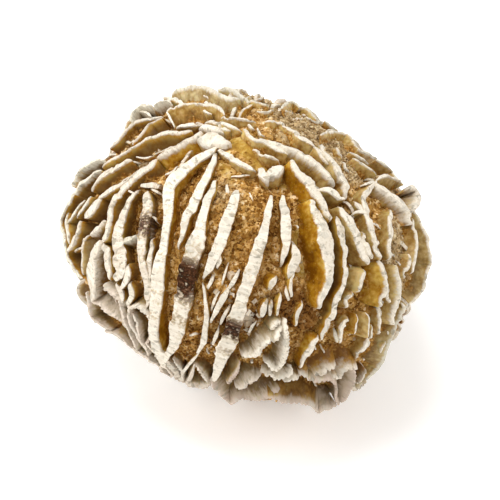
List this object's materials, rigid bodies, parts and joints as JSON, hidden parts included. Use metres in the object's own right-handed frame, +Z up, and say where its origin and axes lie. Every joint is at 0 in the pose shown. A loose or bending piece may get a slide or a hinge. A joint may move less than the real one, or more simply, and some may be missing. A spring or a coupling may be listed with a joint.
{
  "type": "gypsum sand rose",
  "caption": "Rounded cluster of lens-shaped gypsum blades grown together in golden sand, with rims that stand out like ribs.",
  "frame": {"origin": "centre of the flat resting face under the stone", "axes": "+Z up from the resting face, +X along the longest side, -Y towards the front, where the broad fan of upright blades stands"},
  "size_m": [0.073, 0.0666, 0.0595],
  "materials": {
    "gypsum_and_sand": "chalky off-white blade rims, honey-coloured translucent flanks and golden-brown sand between them"
  },
  "bodies": {
    "root": {"sand_rose": "gypsum_and_sand"}
  },
  "joints": []
}
